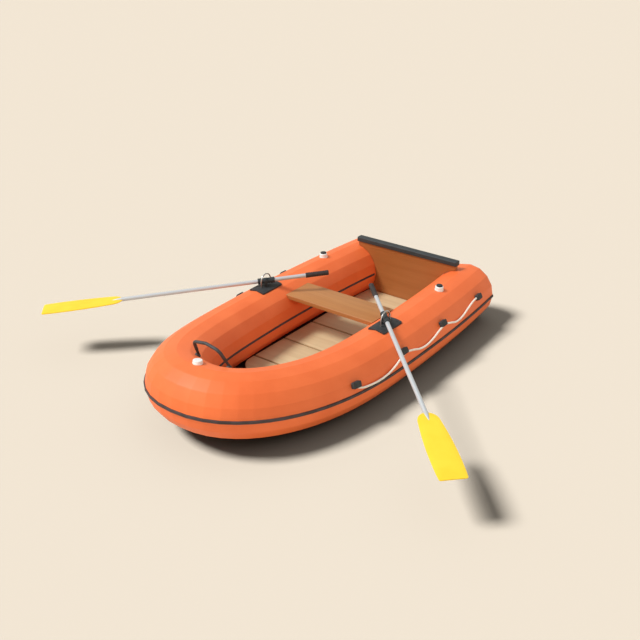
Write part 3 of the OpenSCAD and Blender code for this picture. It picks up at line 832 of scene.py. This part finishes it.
edge_line = []
for a in (pi / 2 * k / 12 for k in range(13)):
    edge_line.append((shoulder_l * (1 - cos(a)), max(shaft_r, blade_half(shoulder_l) * sin(a))))
for k in range(1, 12):
    s = shoulder_l + (blade_l - tip_round - shoulder_l) * k / 12
    edge_line.append((s, blade_half(s)))
for a in (pi / 2 * (1 - k / 4) for k in range(5)):
    edge_line.append((blade_l - tip_round + tip_round * cos(a),
                      blade_half(blade_l) - tip_round + tip_round * sin(a)))
outline = edge_line + [(s, -w) for s, w in reversed(edge_line)]
crown = ((0.90, 0.0011), (0.82, 0.0008), (0.75, 0.0004))  # each ring's share of the last, and rise
rim_t = blade_t - 2 * sum(rise for share, rise in crown)
pick(curve_of([(blade_start + s, w, -rim_t / 2) for s, w in outline], True))
bpy.ops.object.convert(target="MESH")
blade = edited(bpy.context.object, ("remove_doubles", {"threshold": 1e-6}), ("edge_face_add", {}),
               ("extrude_region_move", {"TRANSFORM_OT_translate": {"value": (0, 0, rim_t)}}),
               ("normals_make_consistent", {"inside": False}))
for side in (1, -1):
    chosen(blade, lambda middle, normal: normal.z * side > 0.999)
    for share, rise in crown:
        bpy.ops.mesh.extrude_region_move(TRANSFORM_OT_translate={"value": (0, 0, side * rise)})
        bpy.ops.transform.resize(value=(1 - (1 - share) * tip_w / blade_l, share, 1),
                                 center_override=(blade_start + blade_l / 2, 0, 0))
    bpy.ops.object.mode_set(mode="OBJECT")
edited(rounded(blade, 0.0012, angle=25), ("remove_doubles", {"threshold": 1e-5}))

# Polypropylene: strong clear yellow and waxy, with a soft gloss that is a little uneven.
blade_plastic, shader = finish_of("yellow_polypropylene", "FFD83E", roughness=0.42,
                                  specular_ior_level=0.1)
mottled(blade_plastic, shader, "FFDB41", "FFD43A", 0.12)
grained(blade_plastic, shader, 0.004, 0.00015, roughness=(0.36, 0.5))
pair(on_oar(blade), "oar_blade", blade_plastic, "oar", "blade_plastic", "blade")


# ---- Floor and light ----
# A plain pale floor runs out to a pale backdrop, in a room that is dimmer overhead. One soft key
# light stands off the starboard bow. Two more lamps light the floor alone, along the key's line and
# from straight above, so that it is pale, with neutral shadows, and takes little orange on.
bpy.ops.mesh.primitive_plane_add(size=120)
floor = bpy.context.object
floor.name = "floor"
paper, shader = finish_of("plain_pale_floor", "46423C", roughness=0.95, specular_ior_level=0.0)
floor.data.materials.append(paper)
floor_only = bpy.data.collections.new("floor_only")
floor_only.objects.link(floor)
key_way = (-0.60, 0.55, -1)
for name, energy, spread, way in (("key", 2.7, 17, key_way), ("floor_key", 45.6, 17, key_way),
                                  ("floor_fill", 6.7, 120, (0, 0, -1))):
    lamp_data = bpy.data.lights.new(name, "SUN")
    lamp_data.energy = energy
    lamp_data.angle = radians(spread)
    lamp = bpy.data.objects.new(name, lamp_data)
    bpy.context.scene.collection.objects.link(lamp)
    lamp.rotation_euler = Vector(way).to_track_quat("-Z", "Y").to_euler()
    if name != "key":
        lamp.light_linking.receiver_collection = floor_only
world = bpy.data.worlds.new("pale_room")
bpy.context.scene.world = world
world.use_nodes = True
background = world.node_tree.nodes["Background"]
background.inputs["Strength"].default_value = 1.0
sky = add(world, "SeparateXYZ", {"Vector": add(world, "TexCoord").outputs["Generated"]})
overhead = add(world, "MapRange", {"Value": sky.outputs["Z"], "From Min": 0.3, "From Max": 0.7})
room = add(world, "Mix", {"Factor": overhead.outputs[0]}, data_type="RGBA")
room.inputs["A"].default_value = linear("F2E8D5")
room.inputs["B"].default_value = linear("A6ABB2")
world.node_tree.links.new(room.outputs["Result"], background.inputs["Color"])
bpy.context.scene.view_settings.view_transform = "Standard"
